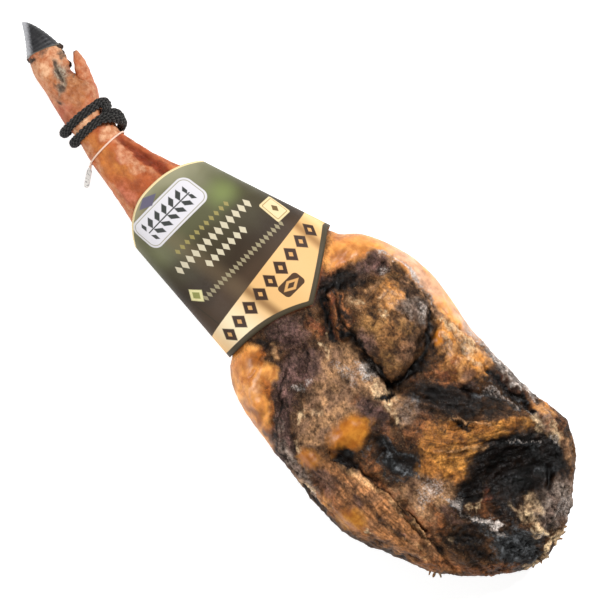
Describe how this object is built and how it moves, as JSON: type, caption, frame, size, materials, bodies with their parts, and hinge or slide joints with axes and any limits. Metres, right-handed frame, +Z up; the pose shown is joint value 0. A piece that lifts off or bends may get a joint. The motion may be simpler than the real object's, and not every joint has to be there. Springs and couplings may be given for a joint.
{
  "type": "cured iberian pork shoulder",
  "caption": "Whole cured pork shoulder lying on its side, with its hoof, a hanging rope round the ankle, a seal strap and a conical card sleeve round the shank.",
  "frame": {"origin": "under the middle of the whole object, on the surface that it lies on", "axes": "+X from the hoof to the butt end, +Y towards the back of the leg with the dewclaws, +Z up out of the side that shows"},
  "size_m": [0.7, 0.229, 0.0874],
  "materials": {
    "cured_meat": "cured rind, amber fat and dark dried meat with patches of pale bloom, satin",
    "hoof_horn": "black hoof horn, satin",
    "rope": "twisted black cord, matt",
    "seal_strap": "pale moulded strap",
    "printed_card": "printed card in olive, brown and gold, semi-gloss"
  },
  "bodies": {
    "root": {"leg": "cured_meat", "hoof_claw_upper": "hoof_horn", "hoof_claw_lower": "hoof_horn", "rope": "rope", "seal_strap": "seal_strap", "label_sleeve": "printed_card"}
  },
  "joints": []
}
